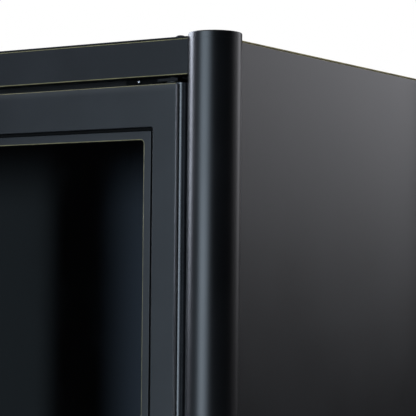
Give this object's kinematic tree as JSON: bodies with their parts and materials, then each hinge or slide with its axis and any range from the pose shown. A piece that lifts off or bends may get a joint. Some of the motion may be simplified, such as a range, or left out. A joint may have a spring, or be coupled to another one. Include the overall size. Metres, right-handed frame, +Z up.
{
  "type": "glass-door mini fridge",
  "caption": "Slim black mini fridge with a framed dark-glass door between round corner posts, wire shelves inside, and a compressor and condenser at the back.",
  "frame": {"origin": "on the floor under the middle of the whole object's box, handle and condenser included", "axes": "+Z up; the door faces -Y; +X to the right of a person who faces the door"},
  "size_m": [0.5032, 0.555, 0.85],
  "materials": {
    "post_paint": "satin",
    "black_paint": "satin",
    "bracket_paint": "satin",
    "zinc_sheet": "satin",
    "fastener_steel": "satin",
    "shelf_wire": "polished",
    "tinted_glass": "gloss",
    "spacer_aluminium": "satin",
    "seal_rubber": "matte",
    "door_plastic": "satin",
    "liner_plastic": "satin",
    "control_plastic": "satin",
    "lens_plastic": "satin",
    "bush_plastic": "satin",
    "insulation_foam": "matte",
    "compressor_paint": "satin",
    "copper_pipe": "satin"
  },
  "bodies": {
    "cabinet": {"post_front_left": "post_paint", "post_front_right": "post_paint", "post_rear_left": "post_paint", "post_rear_right": "post_paint", "post_cap_front_left": "post_paint", "post_cap_front_right": "post_paint", "post_cap_rear_left": "post_paint", "post_cap_rear_right": "post_paint", "top_panel": "black_paint", "side_panel_left": "black_paint", "side_panel_right": "black_paint", "header_rail": "black_paint", "kick_rail": "black_paint", "hinge_bracket_top": "bracket_paint", "hinge_bracket_bottom": "bracket_paint", "hinge_pin_top": "bracket_paint", "condenser_coil": "bracket_paint", "rear_panel": "zinc_sheet", "base_pan": "zinc_sheet", "bay_plate": "zinc_sheet", "compressor_plate": "zinc_sheet", "hinge_screw_top_1": "fastener_steel", "hinge_screw_top_2": "fastener_steel", "hinge_screw_bottom_1": "fastener_steel", "hinge_screw_bottom_2": "fastener_steel", "shelf_upper": "shelf_wire", "shelf_middle": "shelf_wire", "shelf_lower": "shelf_wire", "evaporator_plate": "spacer_aluminium", "compressor_grommet_1": "seal_rubber", "compressor_grommet_2": "seal_rubber", "compressor_grommet_3": "seal_rubber", "compressor_grommet_4": "seal_rubber", "inner_liner": "liner_plastic", "control_box": "control_plastic", "drip_tray": "control_plastic", "terminal_cover": "control_plastic", "mains_inlet": "control_plastic", "lamp_lens": "lens_plastic", "insulation": "insulation_foam", "compressor": "compressor_paint", "discharge_pipe": "copper_pipe", "suction_pipe": "copper_pipe", "filter_drier": "copper_pipe"},
    "door": {"door_frame": "black_paint", "glazing_bead": "black_paint", "outer_glass": "tinted_glass", "glass_spacer": "spacer_aluminium", "inner_glass": "tinted_glass", "door_body": "door_plastic", "door_seal": "seal_rubber", "door_handle": "black_paint", "hinge_bush_top": "bush_plastic", "hinge_bush_bottom": "bush_plastic"},
    "thermostat_knob": {"thermostat_knob": "control_plastic"},
    "lamp_switch": {"lamp_switch": "control_plastic"},
    "foot_front_left": {"foot_front_left": "control_plastic"},
    "foot_front_right": {"foot_front_right": "control_plastic"},
    "foot_rear_left": {"foot_rear_left": "control_plastic"},
    "foot_rear_right": {"foot_rear_right": "control_plastic"}
  },
  "joints": [
    {"name": "door_hinge", "type": "hinge", "parent": "cabinet", "child": "door", "pos_m": [0.1843, -0.2275, 0.4475], "axis": [0, 0, 1], "range_deg": [0, 115]},
    {"name": "thermostat_turn", "type": "hinge", "parent": "cabinet", "child": "thermostat_knob", "pos_m": [0.035, -0.1195, 0.7557], "axis": [0, 1, 0], "range_deg": [0, 300]},
    {"name": "lamp_switch_rock", "type": "hinge", "parent": "cabinet", "child": "lamp_switch", "pos_m": [-0.04, -0.1175, 0.7557], "axis": [1, 0, 0], "range_deg": [-7, 7]},
    {"name": "foot_front_left_height", "type": "slide", "parent": "cabinet", "child": "foot_front_left", "axis": [0, 0, -1], "range_m": [0, 0.012]},
    {"name": "foot_front_right_height", "type": "slide", "parent": "cabinet", "child": "foot_front_right", "axis": [0, 0, -1], "range_m": [0, 0.012]},
    {"name": "foot_rear_left_height", "type": "slide", "parent": "cabinet", "child": "foot_rear_left", "axis": [0, 0, -1], "range_m": [0, 0.012]},
    {"name": "foot_rear_right_height", "type": "slide", "parent": "cabinet", "child": "foot_rear_right", "axis": [0, 0, -1], "range_m": [0, 0.012]}
  ]
}
